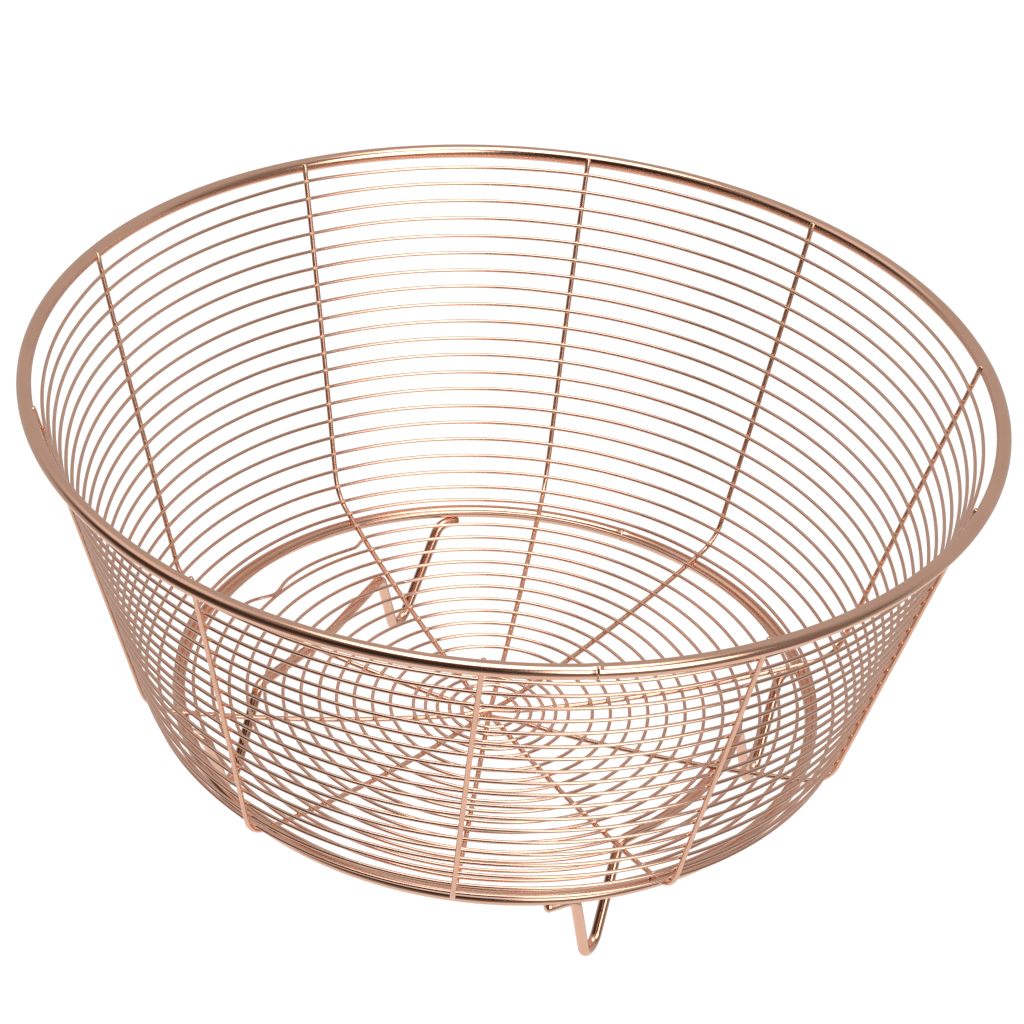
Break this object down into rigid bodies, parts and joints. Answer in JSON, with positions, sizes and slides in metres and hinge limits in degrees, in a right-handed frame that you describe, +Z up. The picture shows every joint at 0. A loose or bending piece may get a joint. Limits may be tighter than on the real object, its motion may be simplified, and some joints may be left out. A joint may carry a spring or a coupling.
{
  "type": "wire produce basket",
  "caption": "Round open wire basket of concentric rings on radial ribs, with a rod rim, a base ring and looped wire feet, for fruit and vegetables.",
  "frame": {"origin": "centre of the basket on the plane the feet rest on", "axes": "+Z up out of the open top, along the basket's axis; +X to the viewer's right and -Y towards the viewer in the front view"},
  "size_m": [0.28, 0.2799, 0.1455],
  "materials": {
    "copper_rod": "rose copper plating, glossy, on round steel rod",
    "copper_rib_wire": "rose copper plating, glossy, on drawn wire",
    "copper_ring_wire": "rose copper plating, glossy, on thin drawn wire",
    "copper_stand_wire": "rose copper plating, glossy, on bent wire"
  },
  "bodies": {
    "root": {"top_rim": "copper_rod", "base_ring": "copper_rod", "rib_wire_1": "copper_rib_wire", "rib_wire_2": "copper_rib_wire", "rib_wire_3": "copper_rib_wire", "rib_wire_4": "copper_rib_wire", "rib_wire_5": "copper_rib_wire", "wall_ring_01": "copper_ring_wire", "wall_ring_02": "copper_ring_wire", "wall_ring_03": "copper_ring_wire", "wall_ring_04": "copper_ring_wire", "wall_ring_05": "copper_ring_wire", "wall_ring_06": "copper_ring_wire", "wall_ring_07": "copper_ring_wire", "wall_ring_08": "copper_ring_wire", "wall_ring_09": "copper_ring_wire", "wall_ring_10": "copper_ring_wire", "wall_ring_11": "copper_ring_wire", "wall_ring_12": "copper_ring_wire", "wall_ring_13": "copper_ring_wire", "wall_ring_14": "copper_ring_wire", "wall_ring_15": "copper_ring_wire", "wall_ring_16": "copper_ring_wire", "wall_ring_17": "copper_ring_wire", "wall_ring_18": "copper_ring_wire", "wall_ring_19": "copper_ring_wire", "wall_ring_20": "copper_ring_wire", "wall_ring_21": "copper_ring_wire", "bottom_ring_01": "copper_ring_wire", "bottom_ring_02": "copper_ring_wire", "bottom_ring_03": "copper_ring_wire", "bottom_ring_04": "copper_ring_wire", "bottom_ring_05": "copper_ring_wire", "bottom_ring_06": "copper_ring_wire", "bottom_ring_07": "copper_ring_wire", "bottom_ring_08": "copper_ring_wire", "bottom_ring_09": "copper_ring_wire", "bottom_ring_10": "copper_ring_wire", "bottom_ring_11": "copper_ring_wire", "bottom_ring_12": "copper_ring_wire", "bottom_ring_13": "copper_ring_wire", "bottom_ring_14": "copper_ring_wire", "bottom_ring_15": "copper_ring_wire", "bottom_ring_16": "copper_ring_wire", "bottom_ring_17": "copper_ring_wire", "stand_wire_front": "copper_stand_wire", "stand_wire_rear": "copper_stand_wire"}
  },
  "joints": []
}
